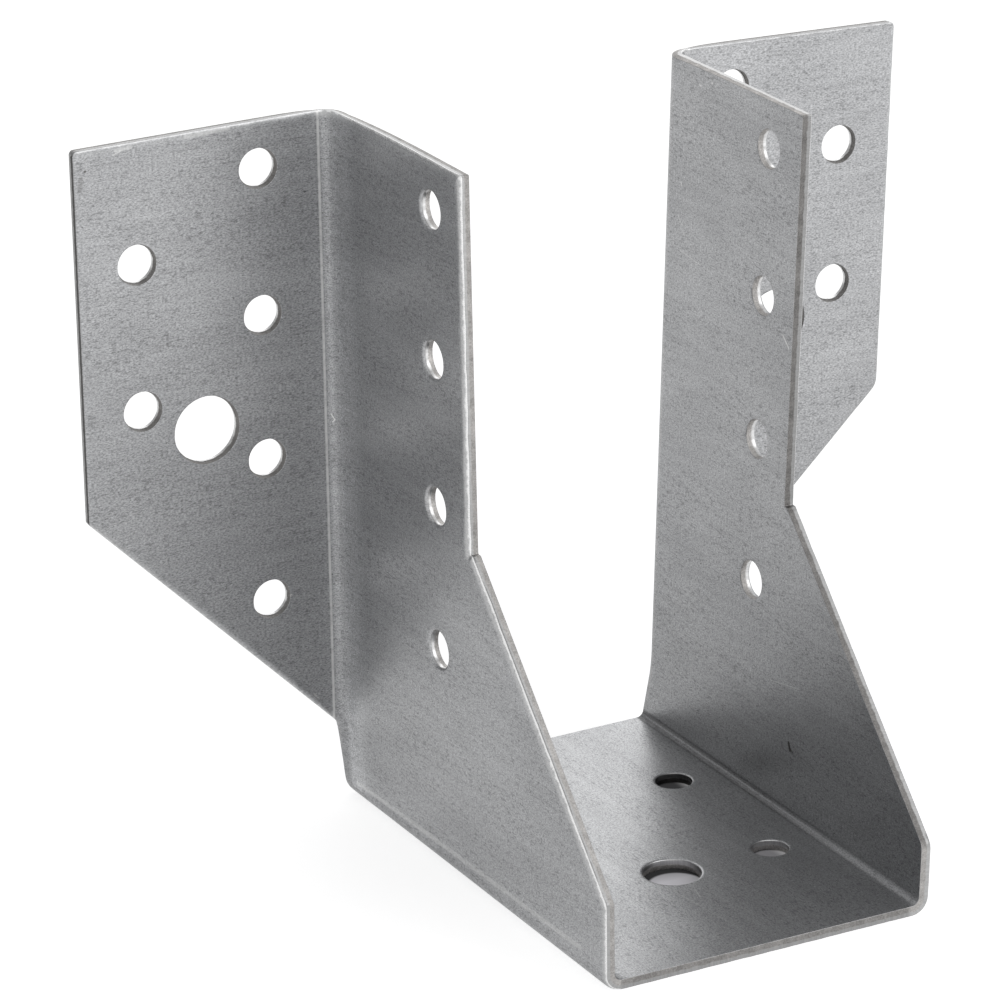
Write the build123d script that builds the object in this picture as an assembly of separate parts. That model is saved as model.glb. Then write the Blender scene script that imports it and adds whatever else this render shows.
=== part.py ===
from build123d import *
import os
from math import cos, degrees, radians

os.makedirs("parts", exist_ok=True)

# A joist hanger folded from one sheet of galvanised steel, in millimetres.
# X runs across the pocket, +Y points at the header beam and +Z is up.
# It is modelled with the header's face as the plane Y = 0 and the underside of the seat as Z = 0.
# The finished hanger has its origin at the middle of the seat's rear edge, on the underside.

# Sheet and bends
sheet = 1.5
seat_bend_radius = 1.0
flange_bend_radius = 2.2

# Pocket that the joist drops into
pocket_width = 45.0
hanger_height = 98.0
left_side_length = 70.1
right_side_length = 70.9
back_setback = 0.8
left_strip_setback = 0.0
right_strip_setback = 0.8
left_flare_width = 7.0

# Each side leans out a little past upright, in degrees
left_lean = 0.3
right_lean = 2.0

# Cheeks: a narrow upper part, then a slanting front edge down to the seat
upper_cheek_depth = 35.4
left_notch_depth = 36.2
right_notch_depth = 35.0
left_notch_height = 47.6
right_notch_height = 44.4
left_toe_height = 12.3
right_toe_height = 9.9
notch_ledge = 0.5
left_toe_round = 1.0
right_toe_round = 2.0

# Flanges: reach is from the middle of the pocket to the outer edge
left_flange_reach = 60.9
right_flange_reach = 58.75
left_outer_edge = 50.6
right_outer_edge = 52.5
left_tip_height = 11.6
right_tip_height = 11.1
top_corner_round = 0.7
left_lower_corner_round = 0.6
right_lower_corner_round = 2.4

# Nail and bolt holes in the flanges, measured in from the outer edge and down from the top
nail_hole_diameter = 5.1
flange_bolt_hole_diameter = 9.0
nail_pitch = 20.0
outer_column_inset = 8.25
inner_column_inset = 25.9
inner_column_top = 6.4
outer_column_top = 16.4
bolt_hole_inset = 17.3
bolt_hole_drop = 40.7
inner_column_count = 4
outer_column_count = 2

# Nail holes in the cheeks
cheek_hole_setback = 27.5
cheek_hole_top = 6.6
cheek_hole_count = 4

# Holes in the seat
seat_bolt_hole_diameter = 8.2
seat_bolt_hole_setback = 46.4
seat_nail_offset = 15.0
seat_rear_nail_setback = 21.8
seat_front_nail_setback = 46.6

# What follows from the sizes above
half_pocket = pocket_width / 2
outer_bend_radius = flange_bend_radius + sheet
bend_start_height = seat_bend_radius + sheet
middle_bend_radius = flange_bend_radius + sheet / 2
bend_centre_x = half_pocket + outer_bend_radius


def block(x0, x1, y0, y1, z0, z1):
    """A box between two opposite corners."""
    size = Box(x1 - x0, y1 - y0, z1 - z0)
    return Pos((x0 + x1) / 2, (y0 + y1) / 2, (z0 + z1) / 2) * size


def ring_sector(centre, inner, outer, start, sweep):
    """A piece of a flat ring, as a face in the plane of the two given coordinates."""
    outside = CenterArc(centre, outer, start, sweep)
    inside = CenterArc(centre, inner, start, sweep)
    first = Line(outside @ 0, inside @ 0)
    last = Line(outside @ 1, inside @ 1)
    return make_face([outside, last, inside, first])


def plan_profile(length, reach):
    """Cheek, upright bend and flange of one side, seen from above."""
    centre = (bend_centre_x, -outer_bend_radius)
    bend_outside = CenterArc(centre, outer_bend_radius, 90, 90)
    bend_inside = CenterArc(centre, flange_bend_radius, 90, 90)
    edges = [
        Line((half_pocket, -length), (half_pocket, -outer_bend_radius)),
        bend_outside,
        Line((bend_centre_x, 0), (reach, 0)),
        Line((reach, 0), (reach, -sheet)),
        Line((reach, -sheet), (bend_centre_x, -sheet)),
        bend_inside,
        Line((half_pocket + sheet, -outer_bend_radius), (half_pocket + sheet, -length)),
        Line((half_pocket + sheet, -length), (half_pocket, -length)),
    ]
    return make_face(edges)


def rounded(face, x, y, radius):
    """The face with the corner nearest to a point rounded off."""
    corner = face.vertices().sort_by_distance((x, y, 0))[0]
    return fillet(corner, radius)


def cheek_outline(length, notch_depth, notch_height, toe_height, toe_round):
    """The front edge of one side as it is seen from the pocket, with Y as the first axis."""
    face = make_face(
        Polyline(
            (1, bend_start_height),
            (-length, bend_start_height),
            (-length, toe_height),
            (-notch_depth - notch_ledge, notch_height),
            (-notch_depth, notch_height),
            (-upper_cheek_depth, hanger_height),
            (1, hanger_height),
            (1, bend_start_height),
        )
    )
    return rounded(face, -length, toe_height, toe_round)


def flange_outline(reach, outer_edge, tip_x, tip_height, lower_round):
    """The flange as it is seen from the front, with its sloping lower edge."""
    corner_height = hanger_height - outer_edge
    face = make_face(
        Polyline(
            (0, 0),
            (tip_x, 0),
            (tip_x, tip_height),
            (reach, corner_height),
            (reach, hanger_height),
            (0, hanger_height),
            (0, 0),
        )
    )
    face = rounded(face, reach, corner_height, lower_round)
    return rounded(face, reach, hanger_height, top_corner_round)


def back_strip(tip_height, strip_length, strip_angle):
    """The rear edge of a cheek below its flange, where the bend flattens out."""
    flat = make_face(
        Polyline(
            (half_pocket, -outer_bend_radius),
            (half_pocket, -outer_bend_radius + strip_length),
            (half_pocket + sheet, -outer_bend_radius + strip_length),
            (half_pocket + sheet, -outer_bend_radius),
            (half_pocket, -outer_bend_radius),
        )
    )
    centre = (bend_centre_x, -outer_bend_radius)
    curved = ring_sector(centre, flange_bend_radius, outer_bend_radius, 180 - strip_angle, strip_angle)
    low = Pos(0, 0, bend_start_height) * flat
    high = Pos(0, 0, tip_height) * curved
    return loft([low, high], ruled=True)


def upright_side(
    length,
    strip_setback,
    reach,
    outer_edge,
    tip_height,
    lower_round,
    notch_depth,
    notch_height,
    toe_height,
    toe_round,
    lean,
):
    """One side of the hanger, made for +X and standing over its half of the seat."""
    strip_length = outer_bend_radius - strip_setback
    strip_angle = degrees(strip_length / middle_bend_radius)
    tip_x = bend_centre_x - middle_bend_radius * cos(radians(strip_angle))
    side = Pos(0, 0, bend_start_height) * extrude(plan_profile(length, reach), hanger_height - bend_start_height)
    front = Plane.YZ * cheek_outline(length, notch_depth, notch_height, toe_height, toe_round)
    side = side & extrude(front, reach + 1)
    wing = Plane.XZ * flange_outline(reach, outer_edge, tip_x, tip_height, lower_round)
    side = side & Pos(0, 1, 0) * extrude(wing, length + 2)
    side -= block(half_pocket - 1, reach, -outer_bend_radius, 1, 0, tip_height)
    side += back_strip(tip_height, strip_length, strip_angle)

    nail_along_y = Rot(90, 0, 0) * Cylinder(nail_hole_diameter / 2, 4 * sheet)
    nail_along_x = Rot(0, 90, 0) * Cylinder(nail_hole_diameter / 2, 4 * sheet)
    bolt_along_y = Rot(90, 0, 0) * Cylinder(flange_bolt_hole_diameter / 2, 4 * sheet)
    for row in range(inner_column_count):
        height = hanger_height - inner_column_top - row * nail_pitch
        side -= Pos(reach - inner_column_inset, -sheet / 2, height) * nail_along_y
    for row in range(outer_column_count):
        height = hanger_height - outer_column_top - row * nail_pitch
        side -= Pos(reach - outer_column_inset, -sheet / 2, height) * nail_along_y
    side -= Pos(reach - bolt_hole_inset, -sheet / 2, hanger_height - bolt_hole_drop) * bolt_along_y
    for row in range(cheek_hole_count):
        height = hanger_height - cheek_hole_top - row * nail_pitch
        side -= Pos(half_pocket + sheet / 2, -cheek_hole_setback, height) * nail_along_x

    axis = Axis((half_pocket - seat_bend_radius, 0, bend_start_height), (0, 1, 0))
    side = side.rotate(axis, lean)
    centre = (half_pocket - seat_bend_radius, bend_start_height)
    sector = ring_sector(centre, seat_bend_radius, bend_start_height, -90, 90 - lean)
    bend = extrude(Plane.XZ * sector, length - strip_setback)
    return side + Pos(0, -strip_setback, 0) * bend


right = upright_side(
    right_side_length,
    right_strip_setback,
    right_flange_reach,
    right_outer_edge,
    right_tip_height,
    right_lower_corner_round,
    right_notch_depth,
    right_notch_height,
    right_toe_height,
    right_toe_round,
    right_lean,
)
left = mirror(
    upright_side(
        left_side_length,
        left_strip_setback,
        left_flange_reach,
        left_outer_edge,
        left_tip_height,
        left_lower_corner_round,
        left_notch_depth,
        left_notch_height,
        left_toe_height,
        left_toe_round,
        left_lean,
    ),
    about=Plane.YZ,
)

# Seat, with a front edge that runs straight from one side to the other.
# Its rear edge runs out on the left to the rear edge of the left side.
seat_half = half_pocket - seat_bend_radius
seat_corners = Polyline(
    (-seat_half, -left_side_length),
    (seat_half, -right_side_length),
    (seat_half, -right_strip_setback),
    (-seat_half + left_flare_width, -back_setback),
    (-seat_half, -left_strip_setback),
    (-seat_half, -left_side_length),
)
seat = extrude(make_face(seat_corners), sheet)

# A bolt hole in the middle of the seat and a nail hole near each corner
seat_nail = Cylinder(nail_hole_diameter / 2, 4 * sheet)
for side_sign in (-1, 1):
    for setback in (seat_rear_nail_setback, seat_front_nail_setback):
        seat -= Pos(side_sign * seat_nail_offset, -setback, sheet / 2) * seat_nail
seat -= Pos(0, -seat_bolt_hole_setback, sheet / 2) * Cylinder(seat_bolt_hole_diameter / 2, 4 * sheet)

hanger = seat + right + left
hanger = hanger.clean()
hanger = Pos(0, back_setback, 0) * hanger
print("solids", len(hanger.solids()), "volume", round(hanger.volume, 1), "valid", hanger.is_valid)
box = hanger.bounding_box()
print("box", box.min, box.max)
export_step(hanger.solids()[0], "parts/hanger.step")
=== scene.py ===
import math
import bpy
from mathutils import Matrix, Vector, noise
from mathutils.geometry import delaunay_2d_cdt


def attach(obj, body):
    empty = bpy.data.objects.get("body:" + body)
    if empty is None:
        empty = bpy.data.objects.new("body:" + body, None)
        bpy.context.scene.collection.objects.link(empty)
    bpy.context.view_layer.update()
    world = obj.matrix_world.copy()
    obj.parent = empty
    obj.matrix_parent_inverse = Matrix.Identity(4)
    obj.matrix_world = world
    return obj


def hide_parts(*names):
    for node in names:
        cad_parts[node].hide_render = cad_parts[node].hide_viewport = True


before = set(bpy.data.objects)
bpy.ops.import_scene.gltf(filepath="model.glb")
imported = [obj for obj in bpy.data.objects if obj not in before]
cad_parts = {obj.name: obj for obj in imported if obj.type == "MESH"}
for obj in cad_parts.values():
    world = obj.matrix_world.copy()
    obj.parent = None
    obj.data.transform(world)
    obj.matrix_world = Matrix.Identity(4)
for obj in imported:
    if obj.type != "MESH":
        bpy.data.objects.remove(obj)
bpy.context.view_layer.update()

MM = 0.001

# Sizes of the folded sheet, in millimetres, the same as the solid's
SHEET = 1.5
SEAT_BEND = 1.0
FLANGE_BEND = 2.2
HALF_POCKET = 22.5
HEIGHT = 98.0
SETBACK = 0.8
FLARE = 7.0
CHEEK_DEPTH = 35.4
LEDGE = 0.6
OUTER_SEAT_BEND = SEAT_BEND + SHEET
MIDDLE_SEAT_BEND = SEAT_BEND + SHEET / 2
SEAT_HALF = HALF_POCKET - SEAT_BEND
MIDDLE = SHEET / 2

# How each sheared edge looks: width and depth of its rolled-over face, 1 where it was sheared from
# the other face, how bright its torn part and its smooth part are, and how much the zinc beside it is
# lightened, partly as polish and partly as a painted highlight
SEAT_EDGE = (0.6, 0.6, 0.0, 0.25, 0.31, 0.5)
LEFT_LOOKS = dict(
    toe=(0.8, 0.85, 0.0, 0.37, 0.36, 0.75),
    slant=(0.9, 0.9, 0.0, 0.36, 0.27, 1.0),
    upper=(1.0, 1.0, 0.0, 0.35, 0.36, 0.9),
    top=(0.9, 0.75, 0.0, 0.3, 0.34, 0.9),
    flange_top=(0.8, 0.6, 0.0, 0.24, 0.28, 0.3),
    outer=(0.35, 0.4, 1.0, 0.07, 0.22, 0.0),
    lower=(0.6, 0.5, 0.0, 0.2, 0.3, 0.3),
)
RIGHT_LOOKS = dict(
    toe=(0.7, 0.55, 0.0, 0.37, 0.42, 0.8),
    slant=(0.7, 0.55, 0.0, 0.2, 0.28, 0.4),
    upper=(0.7, 0.6, 0.0, 0.175, 0.25, 1.0),
    top=(0.7, 0.6, 0.0, 0.36, 0.42, 0.8),
    flange_top=(0.6, 0.5, 0.0, 0.22, 0.26, 0.2),
    outer=(0.5, 0.5, 0.0, 0.22, 0.3, 0.2),
    lower=(0.6, 0.5, 0.0, 0.22, 0.3, 0.3),
)

SIDES = {
    -1: dict(
        front=70.1, rear=0.0, lean=0.3, reach=60.9, edge=50.6, tip=11.6, low_round=0.6,
        notch_depth=36.2, notch=47.6, toe=12.3, toe_round=1.0, bow=0.6,
        ease=0.55, looks=LEFT_LOOKS,
    ),
    1: dict(
        front=70.9, rear=0.8, lean=2.0, reach=58.75, edge=52.5, tip=11.1, low_round=2.4,
        notch_depth=35.0, notch=44.4, toe=9.9, toe_round=2.0, bow=0.0,
        ease=0.0, looks=RIGHT_LOOKS,
    ),
}
# Where the left cheek's bulge begins, its share at the lower bend, and how far up from there it is full
BOW_START = -25.0
LOW_BOW = 0.35
BOW_RISE = 9.0
# At its top end an upright bend draws the sheet's outer skin down: how far that is, and the distances
# over which it fades downward, along the cheek and along the flange
DROOP = 0.3
DROOP_DOWN = 1.6
DROOP_ON_CHEEK = 7.0
DROOP_ON_FLANGE = 2.0

FOLD_STEPS = 240


def fold_curve(ease):
    """Middle line of an upright bend of radius 1: places along it and its turn, from cheek to flange.

    The curvature rises over the first share of the bend and is even after that.
    """
    length = math.pi / 2 / (1 - ease / 2)
    step = length / FOLD_STEPS
    x = y = turn = 0.0
    curve = [(0.0, 0.0, 0.0)]
    for k in range(FOLD_STEPS):
        share = (k + 0.5) / FOLD_STEPS
        bent = step * (min(1.0, share / ease) if ease else 1.0)
        x += step * math.sin(turn + bent / 2)
        y += step * math.cos(turn + bent / 2)
        turn += bent
        curve.append((x, y, turn))
    return curve, length


for values in SIDES.values():
    # Beside its flange a cheek can stand out a little, which leaves that bend less room
    curve, length = fold_curve(values["ease"])
    radius = (FLANGE_BEND + MIDDLE - values["bow"]) / curve[-1][0]
    values["curve"] = [(x * radius, y * radius, turn) for x, y, turn in curve]
    values["bend_length"] = length * radius
    values["bend_s"] = -MIDDLE - values["curve"][-1][1]
    values["flat_s"] = values["bend_s"] + values["bend_length"]
    values["arc"] = MIDDLE_SEAT_BEND * math.radians(90 - values["lean"])
    values["start"] = SEAT_HALF + values["arc"]


def fold_at(side, s):
    """Middle of the sheet and its turn at a place of the upright bend."""
    spot = (s - side["bend_s"]) / side["bend_length"] * FOLD_STEPS
    k = max(0, min(FOLD_STEPS - 1, int(spot)))
    low, high = side["curve"][k], side["curve"][k + 1]
    x, y, turn = (p + (q - p) * (spot - k) for p, q in zip(low, high))
    return HALF_POCKET + MIDDLE + side["bow"] + x, side["bend_s"] + y, turn


BEND_X = HALF_POCKET + FLANGE_BEND + SHEET
for values in SIDES.values():
    values["tip_x"] = fold_at(values, -values["rear"])[0]

# Holes: their radii, and their places as on the solid
NAIL_R = 2.55
FLANGE_BOLT_R = 4.5
SEAT_BOLT_R = 4.1
NAIL_PITCH = 20.0
# Columns of holes in a flange: in from its outer edge, down from the top, how many, and their radius
FLANGE_COLUMNS = [(25.9, 6.4, 4, NAIL_R), (8.25, 16.4, 2, NAIL_R), (17.3, 40.7, 1, FLANGE_BOLT_R)]
CHEEK_COLUMN_S = -27.5
CHEEK_NAIL_DOWN = 6.6
CHEEK_NAILS = 4
SEAT_NAIL_X = 15.0
SEAT_NAIL_SETBACKS = (21.8, 46.6)
SEAT_BOLT_SETBACK = 46.4


def bow_at(side, s, z):
    """How far a cheek stands out beside its flange."""
    if side["bow"] == 0 or s <= BOW_START:
        return 0.0
    share = min(1.0, (s - BOW_START) / (side["bend_s"] - BOW_START))
    low = min(1.0, LOW_BOW + (1 - LOW_BOW) * max(0.0, z - OUTER_SEAT_BEND) / BOW_RISE)
    return side["bow"] * share * share * low


def place(a, s, n):
    """A point of the flat blank (a across, s front to back, n through the sheet) folded into the hanger."""
    sign = -1 if a < 0 else 1
    b = abs(a)
    side = SIDES[sign]
    if b <= SEAT_HALF:
        return Vector((a, s + SETBACK, n)) * MM
    if b < side["start"]:
        share = (b - SEAT_HALF) / side["arc"]
        angle = math.radians(90 - side["lean"]) * share - math.pi / 2
        radius = OUTER_SEAT_BEND - n
        x = SEAT_HALF + radius * math.cos(angle)
        x += bow_at(side, s, OUTER_SEAT_BEND) * share * share
        z = OUTER_SEAT_BEND + radius * math.sin(angle)
        return Vector((sign * x, s + SETBACK, z)) * MM
    z = OUTER_SEAT_BEND + b - side["start"]
    bow = bow_at(side, s, z)
    flat_x = HALF_POCKET + SHEET - n + bow
    top = math.exp(-(HEIGHT - z) / DROOP_DOWN)
    if s <= side["bend_s"]:
        x = flat_x
        y = s
        bend = math.exp((s - side["bend_s"]) / DROOP_ON_CHEEK)
    elif s < side["flat_s"]:
        x, y, turn = fold_at(side, s)
        x += (MIDDLE - n) * math.cos(turn)
        y -= (MIDDLE - n) * math.sin(turn)
        bend = 1.0
        if z < side["tip"]:
            share = (z - OUTER_SEAT_BEND) / (side["tip"] - OUTER_SEAT_BEND)
            x = flat_x + share * (x - HALF_POCKET - SHEET - side["bow"] + n)
            y = s * (1 - share) + y * share
    else:
        x = BEND_X + s - side["flat_s"]
        y = -SHEET + n
        bend = math.exp((side["flat_s"] - s) / DROOP_ON_FLANGE)
    z -= DROOP * top * bend * n / SHEET
    lean = math.radians(side["lean"])
    dx = x - SEAT_HALF
    dz = z - OUTER_SEAT_BEND
    x = SEAT_HALF + dx * math.cos(lean) + dz * math.sin(lean)
    z = OUTER_SEAT_BEND - dx * math.sin(lean) + dz * math.cos(lean)
    return Vector((sign * x, y + SETBACK, z)) * MM


def across(side, z):
    """Blank coordinate of a height on a cheek or flange."""
    return side["start"] + z - OUTER_SEAT_BEND


def along(side, x):
    """Blank coordinate of a distance from the pocket's middle on a flange."""
    return x - BEND_X + side["flat_s"]


# Spacing of the points along the edges and in the bends, and the points of a rounding, the sloping
# lower edge of a bend, the bends' columns and the holes
STEP = 0.9
FINE_STEP = 0.35
ARC_STEPS = 6
TIP_STEPS = 6
SEAT_BEND_COLUMNS = 8
UPRIGHT_COLUMNS = 14
BOWED_COLUMNS = 14
BOWED_STEP = 1.5
NAIL_POINTS = 40
BOLT_POINTS = 56
# Points within the sheet keep this far from its edges, and points nearer than the second gap are one
CLEAR_GAP = 0.3
MERGE_GAP = 1e-6
# Faces that meet at more than this angle, in degrees, meet in a sharp edge
SHARP_ANGLE = 42


def side_corners(sign):
    """Corners of one side in the blank, from the front of the seat round to the rear.

    Each is a place, a rounding radius, the look of the edge that follows it and the spacing of
    that edge's points.
    """
    side = SIDES[sign]
    looks = side["looks"]
    front = -side["front"]
    rear = -side["rear"]
    top = across(side, HEIGHT)
    notch = across(side, side["notch"])
    outer_s = along(side, side["reach"])
    rise = (HEIGHT - side["edge"] - side["tip"]) / (side["reach"] - side["tip_x"])
    flat_low = across(side, side["tip"] + (BEND_X - side["tip_x"]) * rise)
    corners = [
        ((SEAT_HALF, front), 0.0, looks["toe"], FINE_STEP),
        ((side["start"], front), 0.0, looks["toe"], STEP),
        ((across(side, side["toe"]), front), side["toe_round"], looks["slant"], STEP),
        ((notch, -side["notch_depth"] - LEDGE), 0.25, looks["slant"], STEP),
        ((notch, -side["notch_depth"]), 0.15, looks["upper"], STEP),
        ((top, -CHEEK_DEPTH), 0.3, looks["top"], STEP),
        ((top, side["bend_s"]), 0.0, looks["top"], FINE_STEP),
        ((top, side["flat_s"]), 0.0, looks["flange_top"], STEP),
        ((top, outer_s), 0.7, looks["outer"], STEP),
        ((across(side, HEIGHT - side["edge"]), outer_s), side["low_round"], looks["lower"], STEP),
        ((flat_low, side["flat_s"]), 0.0, looks["lower"], STEP),
    ]
    for k in range(1, TIP_STEPS):
        s = side["flat_s"] + (rear - side["flat_s"]) * k / TIP_STEPS
        x = fold_at(side, s)[0]
        spot = (across(side, side["tip"] + (x - side["tip_x"]) * rise), s)
        corners.append((spot, 0.0, looks["lower"], STEP))
    corners.append(((across(side, side["tip"]), rear), 0.2, looks["lower"], STEP))
    corners.append(((side["start"], rear), 0.0, looks["lower"], FINE_STEP))
    corners.append(((SEAT_HALF, rear), 0.0, SEAT_EDGE, STEP))
    return corners


def blank_corners():
    """The whole blank's corners, counter-clockwise."""
    left = side_corners(-1)
    # Mirrored corners run the other way, so each takes the look of the edge before it
    mirrored = []
    for k in range(len(left) - 1, -1, -1):
        spot, radius, _, _ = left[k]
        look, step = left[k - 1][2:] if k > 0 else (SEAT_EDGE, STEP)
        mirrored.append(((-spot[0], spot[1]), radius, look, step))
    middle = [((-SEAT_HALF + FLARE, -SETBACK), 0.0, SEAT_EDGE, STEP)]
    return side_corners(1) + middle + mirrored


def offset_corners(points, distance):
    """The corners of a polygon moved inward, each side by the same distance."""
    moved = []
    count = len(points)
    for i in range(count):
        before = (points[i] - points[i - 1]).normalized()
        after = (points[(i + 1) % count] - points[i]).normalized()
        n1 = Vector((-before.y, before.x))
        n2 = Vector((-after.y, after.x))
        moved.append(points[i] + (n1 + n2) * (distance / (1 + n1.dot(n2))))
    return moved


# Moved inward, an outer corner's rounding ends at this radius, and an inner corner's grows by this share
TIGHTEST = 0.05
WIDENING = 0.8


def outline_at(corners, distance, counts):
    """Points of the blank's outline moved inward, with as many on each stretch as at the edge itself."""
    points = [Vector(corner[0]) for corner in corners]
    count = len(points)
    moved = offset_corners(points, distance)
    arcs = []
    for i in range(count):
        radius = corners[i][1]
        if radius == 0:
            arcs.append([moved[i]])
            continue
        before = (points[i] - points[i - 1]).normalized()
        after = (points[(i + 1) % count] - points[i]).normalized()
        cross = before.x * after.y - before.y * after.x
        radius = max(TIGHTEST, radius - distance) if cross > 0 else radius + WIDENING * distance
        turn = math.acos(max(-1, min(1, before.dot(after))))
        reach = radius * math.tan(turn / 2)
        start = moved[i] - before * reach
        side = Vector((-before.y, before.x)) * (1 if cross > 0 else -1)
        centre = start + side * radius
        sweep = turn if cross > 0 else -turn
        arc = []
        for k in range(ARC_STEPS + 1):
            arc.append(centre + Matrix.Rotation(sweep * k / ARC_STEPS, 2) @ (start - centre))
        arcs.append(arc)
    loop = []
    looks = []
    for i in range(count):
        previous = Vector(corners[i - 1][2])
        following = Vector(corners[i][2])
        for k, p in enumerate(arcs[i]):
            share = k / max(1, len(arcs[i]) - 1)
            loop.append(p)
            looks.append(previous.lerp(following, share) if len(arcs[i]) > 1 else following)
        start = arcs[i][-1]
        end = arcs[(i + 1) % count][0]
        if counts[i] is None:
            counts[i] = max(1, round((end - start).length / corners[i][3]))
        for k in range(1, counts[i]):
            loop.append(start.lerp(end, k / counts[i]))
            looks.append(following)
    return loop, looks


def hole_list():
    """Centre and radius of every hole, in the blank."""
    found = []
    for sign, side in SIDES.items():
        for inset, down, rows, radius in FLANGE_COLUMNS:
            s = along(side, side["reach"] - inset)
            for row in range(rows):
                found.append((sign * across(side, HEIGHT - down - NAIL_PITCH * row), s, radius))
        for row in range(CHEEK_NAILS):
            a = sign * across(side, HEIGHT - CHEEK_NAIL_DOWN - NAIL_PITCH * row)
            found.append((a, CHEEK_COLUMN_S, NAIL_R))
        for setback in SEAT_NAIL_SETBACKS:
            found.append((sign * SEAT_NAIL_X, -setback, NAIL_R))
    found.append((0.0, -SEAT_BOLT_SETBACK, SEAT_BOLT_R))
    return found


# How a sheared edge looks in section: distance in from the cut, and depth from the sheet's outer face.
# The seat's and the flanges' holes are punched from the other face.
ROLL = [
    (1.3, 0.0), (1.0, 0.012), (0.74, 0.04), (0.52, 0.085),
    (0.33, 0.145), (0.17, 0.215), (0.06, 0.29), (0.0, 0.38),
]
BREAK = [(0.0, 0.8), (0.03, 0.85), (0.06, 1.4), (0.09, 1.47), (0.14, 1.5)]
HOLE_ROLL = [(0.52, 0.0), (0.36, 0.02), (0.22, 0.065), (0.11, 0.13), (0.03, 0.22), (0.0, 0.34)]
HOLE_BREAK = [(0.0, 0.85), (0.03, 0.9), (0.06, 1.36), (0.13, 1.45), (0.3, 1.48), (0.7, 1.5)]
SEAT_OTHER_WAY = [
    (0.12, 0.0), (0.03, 0.06), (-0.02, 0.3), (-0.03, 0.66), (-0.04, 0.76),
    (-0.04, 1.26), (-0.03, 1.36), (0.0, 1.42), (0.07, 1.462), (0.2, 1.487), (0.42, 1.5),
]
HOLE_OTHER_WAY = [
    (0.26, 0.0), (0.2, 0.03), (0.17, 0.12), (0.13, 0.4), (0.08, 0.66), (0.0, 0.74),
    (0.0, 1.15), (0.02, 1.24), (0.08, 1.34), (0.2, 1.43), (0.35, 1.48), (0.5, 1.5),
]


# The first and the last strip between a section's rings that is bare steel
EDGE_CUT = (len(ROLL) - 1, len(ROLL) + 2)
CHEEK_CUT = (len(HOLE_ROLL) - 1, len(HOLE_ROLL) + 2)
FLANGE_CUT = (1, len(HOLE_ROLL) + 1)
SEAT_CUT = (0, 6)
# Looks of the holes: which way they were punched, their torn and smooth parts, and the polish and painted
# highlight around; the seat's rear holes' darker walls are painted shade
SEAT_HOLE = (1.0, 0.42, 0.6, 0.0)
# Painted shade: the seat's rear holes get darker torn and smooth walls
PAINTED_SHADE_REAR_HOLE = (1.0, 0.08, 0.3, 0.0)
CHEEK_HOLE = (0.0, 0.5, 0.62, 0.15)
FLANGE_HOLE = (1.0, 0.2, 0.62, 0.0)
# The look of the faces, and the seat's place behind which its holes' walls are darker, as painted shade
PLAIN = (0.0, 0.3, 0.3, 0.0)
PAINTED_SHADE_REAR_S = -30
# The seat's bolt hole is a little tighter than its drilled size below its rolled-over rim
SEAT_BOLT_TIGHTER = 0.18
# How unevenly the rolled-over faces run, along the outline and round a hole
SLOW_WANDER = 0.25
QUICK_WANDER = 0.15
HOLE_WANDER = 0.2
# How deep into a cheek's hole the polish and the painted highlight of the zinc go
POLISH_AND_HIGHLIGHT_DEPTH = 1.3
# Places of the two materials on the mesh
ZINC = 0
CUT_STEEL = 1


class Sheet:
    """Gathers the folded sheet's vertices and faces."""

    def __init__(self):
        self.flat = []
        self.depth = []
        self.edge = []
        self.looks = []
        self.faces = []
        self.kinds = []

    def add(self, a, s, n, edge=0.0, look=PLAIN):
        self.flat.append((a, s))
        self.depth.append(n)
        self.edge.append(edge)
        self.looks.append(tuple(look))
        return len(self.flat) - 1


def uneven(a, s, scale, seed):
    """A number around 0 that changes smoothly over the blank."""
    return noise.noise(Vector((a * scale, s * scale, seed)))


def outline_rings(sheet):
    """The rings of the sheared outline, from its rolled-over face to the other face."""
    corners = blank_corners()
    counts = [None] * len(corners)
    edge, looks = outline_at(corners, 0.0, counts)
    wander = []
    for p in edge:
        value = 1 + SLOW_WANDER * uneven(p.x, p.y, 0.3, 3.0)
        wander.append(value + QUICK_WANDER * uneven(p.x, p.y, 1.5, 9.0))
    rings = []
    widest, _ = outline_at(corners, ROLL[0][0], counts)
    for inset, n in ROLL:
        share = inset / ROLL[0][0]
        ring = []
        for p, q, look, w in zip(edge, widest, looks, wander):
            spot = p.lerp(q, share * look[0] * w)
            ring.append(sheet.add(spot.x, spot.y, n * look[1] * w, 1 - share, look[2:]))
        rings.append(ring)
    for inset, n in BREAK:
        moved, _ = outline_at(corners, inset, counts)
        near = 0.0 if n == SHEET else 1.0
        rings.append([sheet.add(p.x, p.y, n, near, look[2:]) for p, look in zip(moved, looks)])
    return rings


def hole_kind(a, s, radius):
    """Look and section of a hole, and its first and last strip of bare steel."""
    if s > 0:
        return FLANGE_HOLE, HOLE_OTHER_WAY, FLANGE_CUT
    if abs(a) > SEAT_HALF:
        return CHEEK_HOLE, HOLE_ROLL + HOLE_BREAK, CHEEK_CUT
    look = PAINTED_SHADE_REAR_HOLE if s > PAINTED_SHADE_REAR_S else SEAT_HOLE
    tighter = SEAT_BOLT_TIGHTER if radius == SEAT_BOLT_R else 0.0
    return look, [(inset - tighter, n) for inset, n in SEAT_OTHER_WAY], SEAT_CUT


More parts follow.
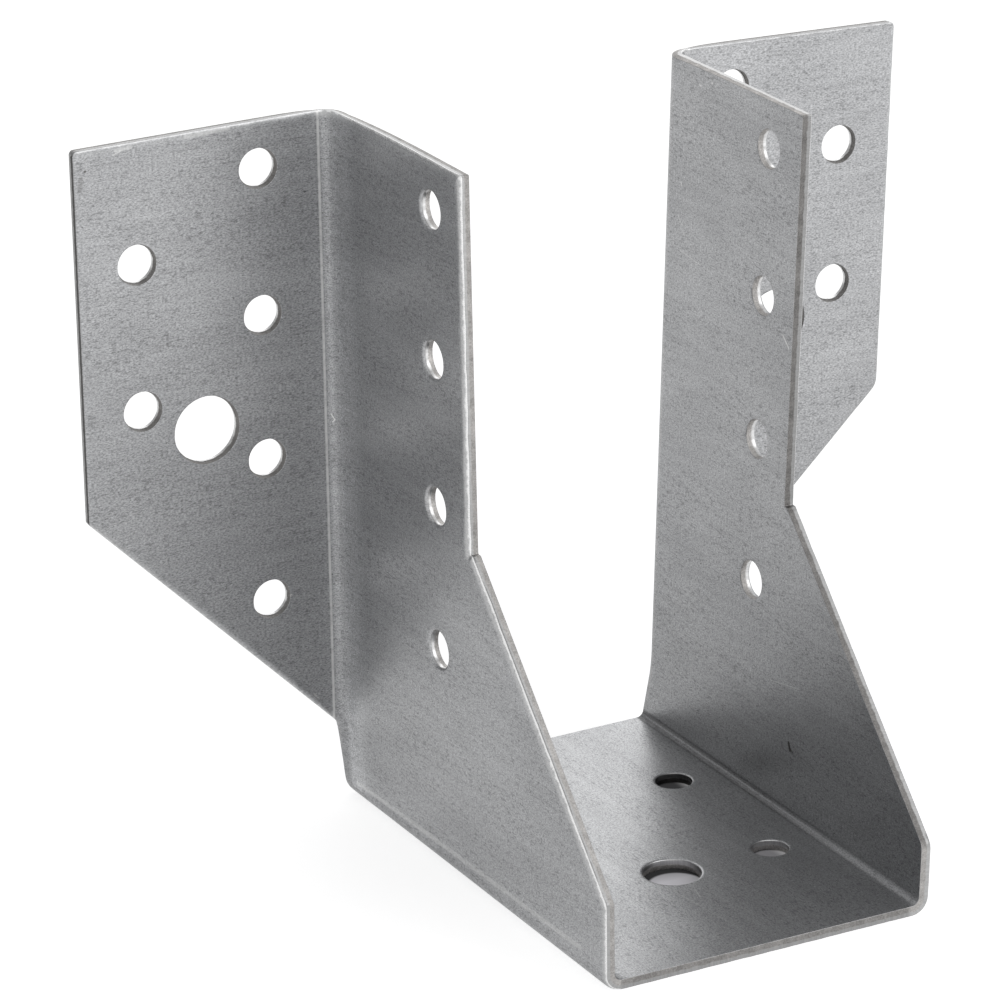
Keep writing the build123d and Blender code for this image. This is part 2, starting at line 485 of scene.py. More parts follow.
def hole_rings(sheet, a, s, radius):
    """The rings of one hole, and its first and last strip of bare steel."""
    look, profile, cut = hole_kind(a, s, radius)
    count = NAIL_POINTS if radius == NAIL_R else BOLT_POINTS
    rings = [[] for _ in profile]
    for i in range(count):
        angle = -2 * math.pi * i / count
        da = math.cos(angle)
        ds = math.sin(angle)
        wander = 1 + HOLE_WANDER * uneven(a + da * 1.3, s + ds * 1.3, 1.0, 5.0)
        for k, (inset, n) in enumerate(profile):
            r = radius + inset * wander
            near = 0.0
            if look is CHEEK_HOLE and n < POLISH_AND_HIGHLIGHT_DEPTH:
                near = 1 - inset / HOLE_ROLL[0][0]
            rings[k].append(sheet.add(a + r * da, s + r * ds, n, near, look))
    return rings, cut


def wall_faces(sheet, rings, cut):
    """Joins the rings by strips of faces, of which cut names the first and the last of bare steel."""
    for k in range(len(rings) - 1):
        kind = CUT_STEEL if cut[0] <= k <= cut[1] else ZINC
        low, high = rings[k], rings[k + 1]
        for i in range(len(low)):
            j = (i + 1) % len(low)
            sheet.faces.append((low[i], low[j], high[j], high[i]))
            sheet.kinds.append(kind)


def inside(point, loop):
    """Whether a point lies within a closed line."""
    x, y = point
    hit = False
    for i in range(len(loop)):
        x1, y1 = loop[i - 1]
        x2, y2 = loop[i]
        if (y1 > y) != (y2 > y) and x < (x2 - x1) * (y - y1) / (y2 - y1) + x1:
            hit = not hit
    return hit


def bend_points():
    """Rows of points that follow the bends and the bowed cheek, so that the folded sheet is round there."""
    points = []
    for sign, side in SIDES.items():
        length = side["front"] - side["rear"]
        rows = round(side["front"] / STEP)
        for k in range(SEAT_BEND_COLUMNS + 1):
            b = SEAT_HALF + side["arc"] * k / SEAT_BEND_COLUMNS
            for j in range(rows + 1):
                points.append((sign * b, -side["front"] + length * j / rows))
        height = HEIGHT - OUTER_SEAT_BEND
        rows = round(height / STEP)
        places = []
        for k in range(UPRIGHT_COLUMNS + 1):
            places.append(side["bend_s"] + side["bend_length"] * k / UPRIGHT_COLUMNS)
        if side["bow"]:
            places += [side["bend_s"] - BOWED_STEP * k for k in range(1, BOWED_COLUMNS + 1)]
        for s in places:
            for j in range(1, rows + 1):
                z = OUTER_SEAT_BEND + height * j / rows
                points.append((sign * across(side, z), s))
    return points


def clear_of(point, cells):
    """Whether a point keeps clear of all the points in the cells around it."""
    ca, cs = math.floor(point[0]), math.floor(point[1])
    for da in (-1, 0, 1):
        for ds in (-1, 0, 1):
            for x, y in cells.get((ca + da, cs + ds), ()):
                if abs(x - point[0]) < CLEAR_GAP and abs(y - point[1]) < CLEAR_GAP:
                    return False
    return True


def on_sheet(point, shapes):
    """Whether a point lies within the outline, the first shape, and in none of the holes."""
    if not inside(point, shapes[0]):
        return False
    return not any(inside(point, shape) for shape in shapes[1:])


def cap_faces(sheet, loops, extra, n, flip):
    """Fills one face of the sheet between its outline and its holes."""
    ids = [i for loop in loops for i in loop]
    shapes = [[sheet.flat[i] for i in loop] for loop in loops]
    edges = []
    base = 0
    for loop in loops:
        edges += [(base + k, base + (k + 1) % len(loop)) for k in range(len(loop))]
        base += len(loop)
    cells = {}
    for shape in shapes:
        for x, y in shape:
            cells.setdefault((math.floor(x), math.floor(y)), []).append((x, y))
    for point in extra:
        if clear_of(point, cells) and on_sheet(point, shapes):
            ids.append(sheet.add(point[0], point[1], n))
    coords = [Vector(sheet.flat[i]) for i in ids]
    verts, _, tris, _, _, _ = delaunay_2d_cdt(coords, edges, [], 0, MERGE_GAP)
    assert len(verts) == len(coords)
    for tri in tris:
        middle = (sum(verts[k].x for k in tri) / 3, sum(verts[k].y for k in tri) / 3)
        if not on_sheet(middle, shapes):
            continue
        face = tuple(ids[k] for k in tri)
        sheet.faces.append(face[::-1] if flip else face)
        sheet.kinds.append(ZINC)


def build_hanger():
    """Lays out the sheet's edges, holes and faces in the blank and makes the folded piece."""
    sheet = Sheet()
    loops = [outline_rings(sheet)]
    wall_faces(sheet, loops[0], EDGE_CUT)
    for a, s, radius in hole_list():
        rings, cut = hole_rings(sheet, a, s, radius)
        wall_faces(sheet, rings, cut)
        loops.append(rings)
    extra = bend_points()
    cap_faces(sheet, [rings[0] for rings in loops], extra, 0.0, True)
    cap_faces(sheet, [rings[-1] for rings in loops], extra, SHEET, False)
    piece = bpy.data.objects.new("hanger_sheet", sheet_mesh(sheet))
    bpy.context.scene.collection.objects.link(piece)
    weights = piece.modifiers.new("face_weights", "WEIGHTED_NORMAL")
    weights.mode = "FACE_AREA"
    weights.weight = 80
    weights.keep_sharp = True
    return piece


def sheet_mesh(sheet):
    """The folded sheet's mesh, with its flat blank and its edges' looks for the materials."""
    mesh = bpy.data.meshes.new("hanger_sheet")
    spots = [place(a, s, n) for (a, s), n in zip(sheet.flat, sheet.depth)]
    mesh.from_pydata(spots, [], sheet.faces)
    mesh.update()
    blank = mesh.uv_layers.new(name="blank")
    for loop in mesh.loops:
        blank.data[loop.index].uv = sheet.flat[loop.vertex_index]
    known = {"depth": sheet.depth, "edge": sheet.edge}
    known.update(zip(("other_way", "torn", "smooth", "polish_and_highlight"), zip(*sheet.looks)))
    for name, numbers in known.items():
        mesh.attributes.new(name, "FLOAT", "POINT").data.foreach_set("value", numbers)
    mesh.polygons.foreach_set("material_index", sheet.kinds)
    mesh.shade_smooth()
    mesh.set_sharp_from_angle(angle=math.radians(SHARP_ANGLE))
    return mesh


def connect(tree, value, socket):
    """Links a node's output to a socket, or sets the socket to a number, a vector or a colour."""
    if isinstance(value, bpy.types.NodeSocket):
        tree.links.new(value, socket)
    elif socket.type == "RGBA":
        socket.default_value = value + (1,)
    else:
        socket.default_value = value


def new_metal(name):
    """A material of bare or galvanised metal, with its nodes and its shader."""
    material = bpy.data.materials.new(name)
    material.use_nodes = True
    tree = material.node_tree
    tree.nodes.clear()
    output = tree.nodes.new("ShaderNodeOutputMaterial")
    shader = tree.nodes.new("ShaderNodeBsdfPrincipled")
    shader.inputs["Metallic"].default_value = 1.0
    tree.links.new(shader.outputs[0], output.inputs[0])
    return material, tree, shader


def blank_spot(tree):
    """Millimetres on the flat blank."""
    source = tree.nodes.new("ShaderNodeUVMap")
    source.uv_map = "blank"
    return source.outputs[0]


def attribute(tree, name):
    node = tree.nodes.new("ShaderNodeAttribute")
    node.attribute_name = name
    return node.outputs["Fac"]


def noise_node(tree, vector, scale, detail, roughness, distortion=0.0):
    node = tree.nodes.new("ShaderNodeTexNoise")
    node.noise_dimensions = "3D"
    node.inputs["Scale"].default_value = scale
    node.inputs["Detail"].default_value = detail
    node.inputs["Roughness"].default_value = roughness
    node.inputs["Distortion"].default_value = distortion
    tree.links.new(vector, node.inputs["Vector"])
    return node.outputs[0]


def blank_noise(tree, spot, scales, offset, detail, roughness, distortion=0.0):
    """Noise on the blank, scaled apart across and along the rolling direction."""
    mapping = tree.nodes.new("ShaderNodeMapping")
    mapping.inputs["Location"].default_value = (offset, offset * 0.7, 0)
    mapping.inputs["Scale"].default_value = scales + (1,)
    tree.links.new(spot, mapping.inputs[0])
    return noise_node(tree, mapping.outputs[0], 1.0, detail, roughness, distortion)


def remap(tree, value, low, high, to_low, to_high, smooth=False):
    node = tree.nodes.new("ShaderNodeMapRange")
    if smooth:
        node.interpolation_type = "SMOOTHSTEP"
    for index, number in zip((1, 2, 3, 4), (low, high, to_low, to_high)):
        node.inputs[index].default_value = number
    tree.links.new(value, node.inputs[0])
    return node.outputs[0]


def maths(tree, operation, a, b=0.0):
    node = tree.nodes.new("ShaderNodeMath")
    node.operation = operation
    connect(tree, a, node.inputs[0])
    connect(tree, b, node.inputs[1])
    return node.outputs[0]


def plus(tree, a, b):
    return maths(tree, "ADD", a, b)


def minus(tree, a, b):
    return maths(tree, "SUBTRACT", a, b)


def away_from(tree, value, centre):
    """How far a number is from another one, whatever the side."""
    return maths(tree, "ABSOLUTE", minus(tree, value, centre))


def product(tree, first, *others):
    for other in others:
        first = maths(tree, "MULTIPLY", first, other)
    return first


def largest(tree, first, *others):
    for other in others:
        first = maths(tree, "MAXIMUM", first, other)
    return first


def vector_maths(tree, operation, a, b=None):
    """The result of a vector operation: a number for a product, a distance or a length."""
    node = tree.nodes.new("ShaderNodeVectorMath")
    node.operation = operation
    connect(tree, a, node.inputs[0])
    if b is not None:
        connect(tree, b, node.inputs[1])
    gives_number = operation in ("DOT_PRODUCT", "DISTANCE", "LENGTH")
    return node.outputs["Value" if gives_number else "Vector"]


def scaled(tree, vector, factor):
    """A colour or another vector times a number."""
    node = tree.nodes.new("ShaderNodeVectorMath")
    node.operation = "SCALE"
    connect(tree, vector, node.inputs[0])
    connect(tree, factor, node.inputs["Scale"])
    return node.outputs[0]


def blend_colours(tree, share, a, b):
    node = tree.nodes.new("ShaderNodeMix")
    node.data_type = "RGBA"
    tree.links.new(share, node.inputs[0])
    connect(tree, a, node.inputs[6])
    connect(tree, b, node.inputs[7])
    return node.outputs[2]


def split(tree, vector):
    """The three parts of a vector."""
    node = tree.nodes.new("ShaderNodeSeparateXYZ")
    tree.links.new(vector, node.inputs[0])
    return tuple(node.outputs)


def mark(tree, spot, front_side, back_side, listed):
    """The strength of a straight mark of the lists along it, on its side of the sheet, and 0 elsewhere."""
    start, end, width, power, on_back = listed
    span = Vector((end[0] - start[0], end[1] - start[1], 0))
    away = vector_maths(tree, "SUBTRACT", spot, start + (0,))
    share = vector_maths(tree, "DOT_PRODUCT", away, tuple(span / span.length_squared))
    nearest = scaled(tree, tuple(span), remap(tree, share, 0, 1, 0, 1))
    distance = vector_maths(tree, "LENGTH", vector_maths(tree, "SUBTRACT", away, nearest))
    found = remap(tree, distance, width * 0.35, width, 1, 0, True)
    return product(tree, found, back_side if on_back else front_side, power)


def bump_node(tree, height, strength, distance):
    bump = tree.nodes.new("ShaderNodeBump")
    bump.inputs["Strength"].default_value = strength
    bump.inputs["Distance"].default_value = distance
    tree.links.new(height, bump.inputs["Height"])
    return bump


# Scratches and pits, and one painted highlight band, in the blank: start, end, width, strength, and
# whether they are on the sheet's inner face
LIGHT_MARKS = [
    ((93.3, -6.5), (92.7, -11.7), 0.11, 0.3, True),
    ((102.8, -6.1), (102.3, -6.3), 0.17, 0.5, True),
    ((98.0, -5.6), (96.9, -6.8), 0.11, 0.4, True),
    ((96.2, -7.0), (95.6, -7.5), 0.1, 0.35, True),
    ((89.2, -32.8), (87.8, -34.4), 0.14, 0.6, True),
    ((118.3, -13.0), (118.3, -13.2), 0.18, 0.65, True),
    ((118.6, -14.2), (118.4, -14.8), 0.11, 0.4, True),
    ((117.3, -10.0), (117.2, -10.3), 0.18, 0.6, True),
    ((42.0, -40.7), (40.7, -33.3), 0.1, 0.3, True),
    ((-118.5, 29.7), (-119.0, 28.3), 0.14, 0.45, False),
    ((-119.2, 19.6), (-119.35, 13.3), 0.34, 0.35, False),
    ((-119.0, 29.3), (-119.2, 27.2), 0.34, 0.3, False),
    ((-53.3, 6.4), (-53.3, 6.5), 0.2, 0.8, False),
    ((-38.2, 3.5), (-37.4, 2.8), 0.16, 0.7, False),
    ((-77.8, -0.5), (-77.0, -1.2), 0.14, 0.8, False),
    ((-77.0, -1.2), (-76.7, -0.7), 0.12, 0.7, False),
    ((-0.2, -52.5), (-0.7, -54.7), 0.12, 0.4, True),
    ((-3.0, -49.5), (-1.0, -66.0), 0.08, 0.25, True),
    ((0.6, -51.0), (3.1, -65.0), 0.08, 0.22, True),
    ((5.0, -40.0), (6.5, -57.0), 0.08, 0.2, True),
    # A painted highlight: a light band along the left cheek's lower bend
    ((-24.85, -4.0), (-25.75, -64.0), 0.5, 0.28, False),
]
DARK_MARKS = [
    ((33.5, -38.5), (32.6, -38.9), 0.36, 0.95, True),
    ((32.9, -38.8), (32.5, -39.5), 0.22, 0.7, True),
    ((-117.0, 33.6), (-117.0, 33.7), 0.22, 0.8, False),
    ((-116.0, 34.3), (-114.6, 34.5), 0.5, 0.35, False),
    ((62.4, -30.9), (62.2, -31.3), 0.2, 0.5, True),
]


# Colours of the zinc: rolled; stretched beside an edge, where it is also lit by a painted highlight;
# a painted highlight on the edge's ridge; a painted highlight in the crease beside the left flange;
# a scratch, also used for a painted highlight band; and a pit
ZINC_DARK = (0.322, 0.325, 0.332)
ZINC_PALE = (0.36, 0.363, 0.37)
STRETCHED_DARK = (0.4, 0.405, 0.41)
STRETCHED_PALE = (0.52, 0.52, 0.52)
RIDGE_HIGHLIGHT = (0.84, 0.84, 0.84)
CREASE_HIGHLIGHT = (0.8, 0.8, 0.8)
SCRATCH_AND_HIGHLIGHT = (0.68, 0.68, 0.67)
PIT = (0.07, 0.065, 0.06)
# The left cheek and flange lie beyond this place across the blank
LEFT_SIDE_A = -24.0
# A painted highlight: the thin light line in the middle of the seat's bends, where the painted crease shade
# gives way
BEND_HIGHLIGHT_A = 23.05


def rolled_zinc(tree, spot, front_side):
    """Colour of the rolled zinc, with its grain and its wavy dark dashes along the rolling direction."""
    dashes = blank_noise(tree, spot, (3.0, 0.8), 0.0, 4.0, 0.68, 0.15)
    cluster = blank_noise(tree, spot, (0.22, 0.05), 7.0, 2.0, 0.6)
    dashes = remap(tree, dashes, 0.49, 0.65, 0.0, 1.0, True)
    dashes = product(tree, dashes, remap(tree, cluster, 0.36, 0.62, 0.3, 1.0))
    streaks = blank_noise(tree, spot, (0.9, 0.1), 51.0, 3.0, 0.6)
    grain = blank_noise(tree, spot, (6.2, 2.7), 3.0, 2.0, 0.75)
    cloud = blank_noise(tree, spot, (0.09, 0.035), 11.0, 2.0, 0.5)
    specks = blank_noise(tree, spot, (1.5, 1.2), 23.0, 2.0, 0.5)
    tone = blend_colours(tree, remap(tree, cloud, 0.35, 0.65, 0, 1), ZINC_DARK, ZINC_PALE)
    # The dashes are a little stronger on the outer face
    dash_depth = product(tree, dashes, remap(tree, front_side, 0, 1, 1.25, 1.45))
    level = remap(tree, grain, 0.3, 0.7, 0.57, 1.54)
    level = product(tree, level, remap(tree, dash_depth, 0, 1, 1.04, 0.74))
    level = product(tree, level, remap(tree, streaks, 0.3, 0.7, 0.92, 1.08))
    level = product(tree, level, remap(tree, specks, 0.7, 0.76, 1.0, 0.55, True))
    return scaled(tree, tone, level), grain, dashes


def stretched_zinc(tree, spot, tone, ragged):
    """The zinc beside a sheared edge, lighter, partly as stretched zinc and partly as a painted highlight,
    and lightest on its ridge, a painted highlight; also how far that reaches.
    """
    polish_and_highlight = attribute(tree, "polish_and_highlight")
    toward = plus(tree, attribute(tree, "edge"), ragged)
    near = product(tree, remap(tree, toward, 0.0, 0.75, 0.0, 1.0, True), polish_and_highlight)
    # Painted highlight: the ridge of a rolled-over edge turns near-white
    ridge_highlight = product(tree, remap(tree, toward, 0.72, 0.95, 0.0, 1.0, True), polish_and_highlight)
    streak = blank_noise(tree, spot, (4.0, 4.0), 41.0, 2.0, 0.7)
    streak = remap(tree, streak, 0.38, 0.62, 0, 1)
    bright = blend_colours(tree, streak, STRETCHED_DARK, STRETCHED_PALE)
    tone = blend_colours(tree, near, tone, bright)
    return blend_colours(tree, ridge_highlight, tone, RIDGE_HIGHLIGHT), near


def crease_highlight_share(tree, a, s, depth, ragged):
    """Where a painted highlight line runs along the crease beside the left flange."""
    share = remap(tree, away_from(tree, s, SIDES[-1]["flat_s"] + 0.05), 0.08, 0.3, 1, 0, True)
    share = product(tree, share, maths(tree, "LESS_THAN", a, -26.0))
    share = product(tree, share, maths(tree, "LESS_THAN", depth, 0.3))
    return product(tree, share, remap(tree, ragged, -0.1, 0.12, 0.35, 0.95))


def bend_dullness(tree, a, s):
    """Where bending left the zinc duller: the left upright bend and the seat's two bends."""
    upright = remap(tree, s, -6.5, -3.2, 0, 1, True)
    upright = product(tree, upright, remap(tree, s, 0.7, 1.6, 1, 0, True))
    upright = product(tree, upright, maths(tree, "LESS_THAN", a, LEFT_SIDE_A))
    from_middle = maths(tree, "ABSOLUTE", a)
    low = remap(tree, from_middle, 20.9, 21.6, 0, 1, True)
    low = product(tree, low, remap(tree, from_middle, 24.0, 25.0, 0.6, 0, True))
    return largest(tree, upright, low)


def bend_painted_light(tree, a, s, front_side, back_side):
    """Painted light on the bends: a painted highlight band on the outer face where the left upright bend
    begins, and painted shade in the seat's bends on the inner face.
    """
    # Painted highlight band on the left cheek's outer face, just before its upright bend
    rise = remap(tree, s, -3.0, -1.4, 1, 0, True)
    rise = product(tree, rise, remap(tree, s, -9.0, -3.2, 0.02, 1, True))
    rise = product(tree, rise, maths(tree, "LESS_THAN", a, LEFT_SIDE_A), front_side)
    from_middle = maths(tree, "ABSOLUTE", a)
    # Painted shade in the seat's inner creases, stronger toward the rear, weaker along a thin painted
    # highlight line
    crease_shade = remap(tree, from_middle, 21.2, 21.7, 0, 1, True)
    crease_shade = product(tree, crease_shade, remap(tree, from_middle, 24.0, 24.5, 1, 0, True), back_side)
    crease_shade = product(tree, crease_shade, remap(tree, s, -64, -32, 0.05, 0.5))
    line = away_from(tree, from_middle, BEND_HIGHLIGHT_A)
    crease_shade = product(tree, crease_shade, remap(tree, line, 0.08, 0.34, 0.45, 1, True))
    return product(tree, plus(tree, 1.0, product(tree, rise, 0.42)), minus(tree, 1.0, crease_shade))


def zinc_material():
    material, tree, shader = new_metal("zinc_sheet")
    spot = blank_spot(tree)
    a, s, _ = split(tree, spot)
    depth = attribute(tree, "depth")
    front_side = maths(tree, "LESS_THAN", depth, MIDDLE)
    back_side = maths(tree, "GREATER_THAN", depth, MIDDLE)
    tone, grain, dashes = rolled_zinc(tree, spot, front_side)
    ragged = blank_noise(tree, spot, (1.1, 1.1), 31.0, 3.0, 0.6)
    ragged = remap(tree, ragged, 0.3, 0.7, -0.12, 0.12)
    tone, near = stretched_zinc(tree, spot, tone, ragged)
    # Painted highlight: a bright line along the crease where the left flange begins
    crease_highlight = crease_highlight_share(tree, a, s, depth, ragged)
    tone = blend_colours(tree, crease_highlight, tone, CREASE_HIGHLIGHT)
    # Scratches and the painted highlights of the crease and the lower bend band lighten toward one colour
    light = crease_highlight
    for listed in LIGHT_MARKS:
        light = largest(tree, light, mark(tree, spot, front_side, back_side, listed))
    tone = blend_colours(tree, light, tone, SCRATCH_AND_HIGHLIGHT)
    for listed in DARK_MARKS:
        tone = blend_colours(tree, mark(tree, spot, front_side, back_side, listed), tone, PIT)
    # Painted highlight and painted shade on the bends
    tone = scaled(tree, tone, bend_painted_light(tree, a, s, front_side, back_side))
    rough = remap(tree, grain, 0.3, 0.7, 0.32, 0.42)
    rough = plus(tree, rough, remap(tree, dashes, 0, 1, 0.0, 0.05))
    rough = minus(tree, rough, product(tree, largest(tree, near, light), 0.12))
    rough = plus(tree, rough, product(tree, bend_dullness(tree, a, s), 0.22))
    tree.links.new(tone, shader.inputs["Base Color"])
    tree.links.new(rough, shader.inputs["Roughness"])
    # The grain's fine relief on the sheet's broad waves
    height = plus(tree, product(tree, grain, 0.55), product(tree, dashes, -0.6))
    fine = bump_node(tree, height, 0.32, 0.02 * MM)
    wave = blank_noise(tree, spot, (0.14, 0.09), 17.0, 1.0, 0.4)
    broad = bump_node(tree, wave, 0.3, 0.2 * MM)
    tree.links.new(fine.outputs[0], broad.inputs["Normal"])
    tree.links.new(broad.outputs[0], shader.inputs["Normal"])
    return material


# The torn steel is a little warm, the smooth steel neutral
TORN_TINT = (1.025, 0.995, 0.97)
SMOOTH_TINT = (1.0, 1.0, 1.0)


def cut_material():
    """Sheared steel: a smooth band beside the rolled-over face and a torn band beyond it."""
    material, tree, shader = new_metal("sheared_edge")
    spot = blank_spot(tree)
    depth = attribute(tree, "depth")
    # Depth from the face that the punch or the blade entered
    entry = product(tree, attribute(tree, "other_way"), SHEET)
    entered = away_from(tree, entry, depth)
    wobble = blank_noise(tree, spot, (0.9, 0.9), 0.0, 3.0, 0.65)
    entered = plus(tree, entered, remap(tree, wobble, 0.3, 0.7, -0.1, 0.1))
    torn = remap(tree, entered, 0.68, 0.84, 0.0, 1.0, True)
    a, s, _ = split(tree, spot)
    in_sheet = tree.nodes.new("ShaderNodeCombineXYZ")
    for part, socket in zip((a, s, depth), in_sheet.inputs):
        tree.links.new(part, socket)
    speck = noise_node(tree, in_sheet.outputs[0], 4.5, 3.0, 0.7)
    patches = blank_noise(tree, spot, (0.5, 0.5), 9.0, 2.0, 0.6)
    mottle = remap(tree, speck, 0.3, 0.7, 0.7, 1.3)
    mottle = product(tree, mottle, remap(tree, patches, 0.3, 0.7, 0.82, 1.18))
    fracture = scaled(tree, TORN_TINT, product(tree, attribute(tree, "torn"), mottle))
    comb = blank_noise(tree, spot, (3.4, 3.4), 5.0, 3.0, 0.7)
    sheen = product(tree, attribute(tree, "smooth"), remap(tree, comb, 0.35, 0.62, 0.88, 1.08))
    tone = blend_colours(tree, torn, scaled(tree, SMOOTH_TINT, sheen), fracture)
    tree.links.new(tone, shader.inputs["Base Color"])
    tree.links.new(remap(tree, torn, 0, 1, 0.3, 0.55), shader.inputs["Roughness"])
    height = plus(tree, product(tree, speck, torn), product(tree, comb, 0.3))
    relief = bump_node(tree, height, 0.5, 0.06 * MM)
    tree.links.new(relief.outputs[0], shader.inputs["Normal"])
    return material


def seen_share(tree):
    """The camera's own rays, and 1 for all rays that show the background, reflected ones too."""
    path = tree.nodes.new("ShaderNodeLightPath")
    camera_ray = path.outputs["Is Camera Ray"]
    seen = largest(tree, camera_ray, path.outputs["Is Glossy Ray"], path.outputs["Is Transmission Ray"])
    return camera_ray, seen


# The floor's half size, and its colour in the open, painted shade under the seat and painted light below a
# hole
FLOOR_HALF = 6.0
FLOOR = (0.8, 0.8, 0.8)
PAINTED_SHADE_UNDER_SEAT = (0.04, 0.04, 0.042)
PAINTED_LIGHT_UNDER_HOLE = (0.6, 0.58, 0.63)
# Painted light on the floor below the bolt hole, and how much painted light lies below the rear
# and the front nail holes
BOLT_SPOT = (0.0, -0.0468, 0.0)
NAIL_SPOT_SHARES = (0.06, 0.38)


def painted_light_below_holes(tree, spot, x, y):
    """How much painted light lies on the floor below the seat's holes."""
    away = vector_maths(tree, "DISTANCE", spot, BOLT_SPOT)
    painted_hole_light = remap(tree, away, 0.0036, 0.0041, 1, 0, True)
    painted_hole_light = product(tree, painted_hole_light, remap(tree, y, -0.0428, -0.0452, 0.62, 1.0))
    painted_hole_light = product(tree, painted_hole_light, remap(tree, x, -0.0015, 0.003, 1.0, 0.75))
    for nail_x in (-SEAT_NAIL_X, SEAT_NAIL_X):
        for setback, share in zip(SEAT_NAIL_SETBACKS, NAIL_SPOT_SHARES):
            centre = (nail_x * MM, (SETBACK - setback) * MM, 0.0)
            away = vector_maths(tree, "DISTANCE", spot, centre)
            painted_hole_light = largest(tree, painted_hole_light, remap(tree, away, 0.0022, 0.0027, share, 0, True))
    return painted_hole_light


def floor_material():
    """Pale paint that shows white, with painted shade under the seat and painted light below its holes."""
    material = bpy.data.materials.new("floor")
    material.use_nodes = True
    tree = material.node_tree
    tree.nodes.clear()
    output = tree.nodes.new("ShaderNodeOutputMaterial")
    paint = tree.nodes.new("ShaderNodeBsdfDiffuse")
    spot = tree.nodes.new("ShaderNodeNewGeometry").outputs["Position"]
    x, y, _ = split(tree, spot)
    # Painted shade: under the seat the floor's colour turns dark and its glow is dimmed
    covered = remap(tree, maths(tree, "ABSOLUTE", x), 0.016, 0.021, 1, 0, True)
    covered = product(tree, covered, remap(tree, away_from(tree, y, -0.035), 0.028, 0.033, 1, 0, True))
    painted_hole_light = painted_light_below_holes(tree, spot, x, y)
    shade = blend_colours(tree, painted_hole_light, PAINTED_SHADE_UNDER_SEAT, PAINTED_LIGHT_UNDER_HOLE)
    tree.links.new(blend_colours(tree, covered, FLOOR, shade), paint.inputs["Color"])
    # A painted pool of light: the floor glows most in front on the right
    painted_light_pool = remap(tree, minus(tree, product(tree, x, 0.6), y), 0.12, 0.32, 0.6, 1.0, True)
    painted_light_pool = plus(tree, painted_light_pool, remap(tree, y, -0.02, -0.1, 0, 0.08, True))
    # Painted shade: the floor close behind the hanger glows a little less, which the metal sees
    behind = remap(tree, y, 0.115, 0.02, 0, 0.2, True)
    behind = product(tree, behind, remap(tree, y, -0.005, 0.01, 0, 1))
    behind = product(tree, behind, remap(tree, x, -0.055, -0.035, 0, 1, True))
    dimmed = product(tree, covered, remap(tree, painted_hole_light, 0, 1, 0.985, 0.72))
    open_share = product(tree, minus(tree, painted_light_pool, behind), minus(tree, 1.0, dimmed))
    camera_ray, seen = seen_share(tree)
    plain = product(tree, camera_ray, minus(tree, 1.0, covered), plus(tree, behind, 0.09))
    glow = tree.nodes.new("ShaderNodeEmission")
    glow.inputs["Color"].default_value = (1, 1, 1, 1)
    tree.links.new(plus(tree, product(tree, seen, open_share), plain), glow.inputs["Strength"])
    both = tree.nodes.new("ShaderNodeAddShader")
    tree.links.new(paint.outputs[0], both.inputs[0])
    tree.links.new(glow.outputs[0], both.inputs[1])
    tree.links.new(both.outputs[0], output.inputs[0])
    return material


def make_floor():
    mesh = bpy.data.meshes.new("floor")
    low = -FLOOR_HALF
    high = FLOOR_HALF
    corners = [(low, low, 0), (high, low, 0), (high, high, 0), (low, high, 0)]
    mesh.from_pydata(corners, [], [(0, 1, 2, 3)])
    floor = bpy.data.objects.new("floor", mesh)
    bpy.context.scene.collection.objects.link(floor)
    floor.data.materials.append(floor_material())


# How strongly the studio's walls light the object, against 1 where they are seen
WALL_LIGHT = 0.42


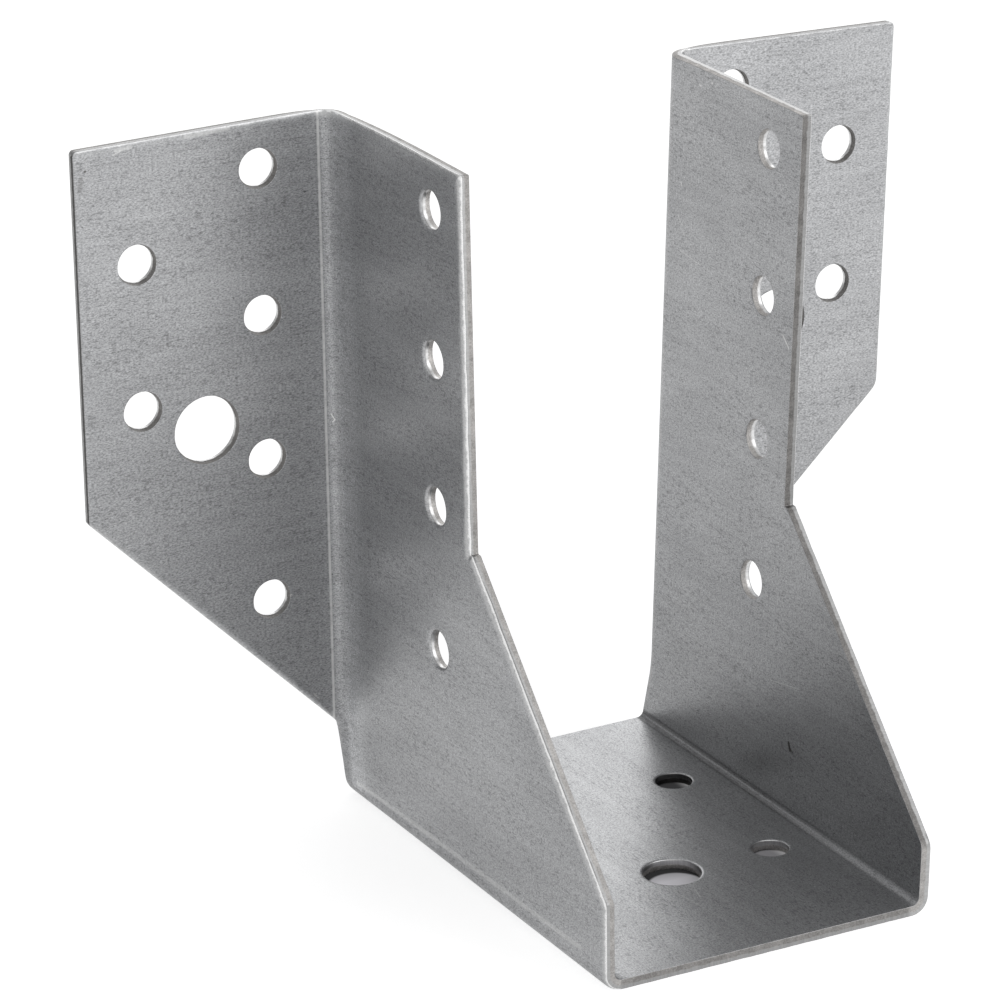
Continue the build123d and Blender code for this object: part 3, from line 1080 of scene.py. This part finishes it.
def make_world():
    """A pale studio, lighter behind on the right and shaded behind on the left."""
    world = bpy.data.worlds.new("studio")
    bpy.context.scene.world = world
    world.use_nodes = True
    tree = world.node_tree
    tree.nodes.clear()
    output = tree.nodes.new("ShaderNodeOutputWorld")
    light = tree.nodes.new("ShaderNodeBackground")
    x, y, z = split(tree, tree.nodes.new("ShaderNodeTexCoord").outputs["Generated"])
    behind = remap(tree, y, 0.15, 0.6, 0, 1, True)
    low = remap(tree, z, 0.45, 0.8, 1, 0, True)
    right = product(tree, remap(tree, x, -0.05, 0.3, 0, 0.29, True), behind, low)
    left = product(tree, remap(tree, x, 0.2, -0.12, 0, 0.5, True), behind, low)
    room = minus(tree, plus(tree, 1.0, right), left)
    room = minus(tree, room, remap(tree, z, 0.6, 0.95, 0, 0.25, True))
    _, seen = seen_share(tree)
    soft = product(tree, minus(tree, 1.0, seen), WALL_LIGHT)
    light.inputs["Color"].default_value = (1, 1, 1, 1)
    tree.links.new(plus(tree, product(tree, seen, room), soft), light.inputs["Strength"])
    tree.links.new(light.outputs[0], output.inputs[0])


def make_lamp(name, position, target, size, power):
    """A soft rectangular lamp that points at a place."""
    data = bpy.data.lights.new(name, "AREA")
    data.shape = "RECTANGLE"
    data.size = size[0]
    data.size_y = size[1]
    data.energy = power
    lamp = bpy.data.objects.new(name, data)
    lamp.location = position
    aim = Vector(target) - Vector(position)
    lamp.rotation_euler = aim.to_track_quat("-Z", "Y").to_euler()
    bpy.context.scene.collection.objects.link(lamp)


# The camera, solved from the photograph's edges and holes
CAMERA_LENS = 183.4186
CAMERA_PLACE = (-0.3113624, -0.5634378, 0.2904233)
CAMERA_RIGHT = Vector((0.87348334, -0.48676745, -0.00918179))
CAMERA_UP = Vector((0.18490928, 0.31424753, 0.93115898))
CAMERA_FORWARD = Vector((0.45037253, 0.81504965, -0.3644978))


def make_camera():
    data = bpy.data.cameras.new("camera")
    data.sensor_width = 36
    data.lens = CAMERA_LENS
    data.clip_end = 50
    camera = bpy.data.objects.new("camera", data)
    turn = Matrix((CAMERA_RIGHT, CAMERA_UP, -CAMERA_FORWARD)).transposed().to_4x4()
    camera.matrix_world = Matrix.Translation(CAMERA_PLACE) @ turn
    bpy.context.scene.collection.objects.link(camera)
    bpy.context.scene.camera = camera


bpy.context.scene.view_settings.view_transform = "Standard"
hanger = build_hanger()
hanger.data.materials.append(zinc_material())
hanger.data.materials.append(cut_material())
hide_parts("hanger")
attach(hanger, "root")

make_floor()
make_world()
make_lamp("front_softbox", (1.1, -1.4, 1.3), (0.3, -0.45, 0), (1.6, 1.6), 10)
make_lamp("back_softbox", (0.9, 1.6, 1.2), (0, 0, 0.04), (1.4, 0.9), 3)
make_camera()
